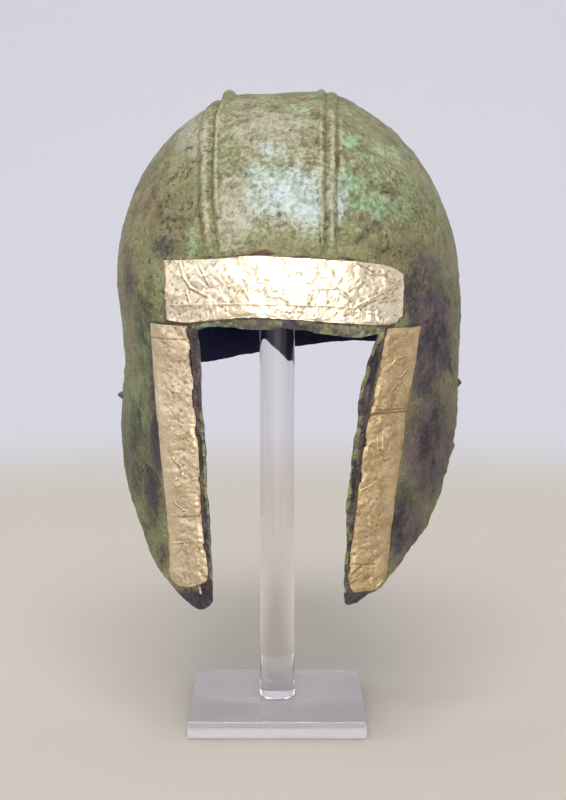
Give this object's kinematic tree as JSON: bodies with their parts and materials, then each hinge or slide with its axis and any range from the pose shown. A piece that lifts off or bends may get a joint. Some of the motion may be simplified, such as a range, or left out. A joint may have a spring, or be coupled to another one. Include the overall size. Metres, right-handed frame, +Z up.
{
  "type": "macedonian helmet on a clear acrylic display stand",
  "caption": "Open-faced ancient bronze helmet with long pointed cheekpieces, crown ribs and gold foil bands, held up by a clear rod on a square block.",
  "frame": {"origin": "middle of the underside of the stand's square block, on the axis of its rod", "axes": "+Z up along the rod; the face opening looks along -Y, turned 2 degrees towards -X; +X is to the viewer's right"},
  "size_m": [0.196, 0.2276, 0.3589],
  "materials": {
    "bronze": "bronze under a rough green, turquoise and brown patina",
    "gold": "thin crumpled gold foil with pressed ornament",
    "acrylic": "clear polished acrylic"
  },
  "bodies": {
    "root": {"helmet_shell": "bronze", "brow_foil": "gold", "cheek_foil_left": "gold", "cheek_foil_right_upper": "gold", "cheek_foil_right_lower": "gold", "foil_sliver_left": "gold", "side_stud_left": "bronze", "side_stud_right": "bronze", "stand_rod": "acrylic", "stand_base": "acrylic"}
  },
  "joints": []
}
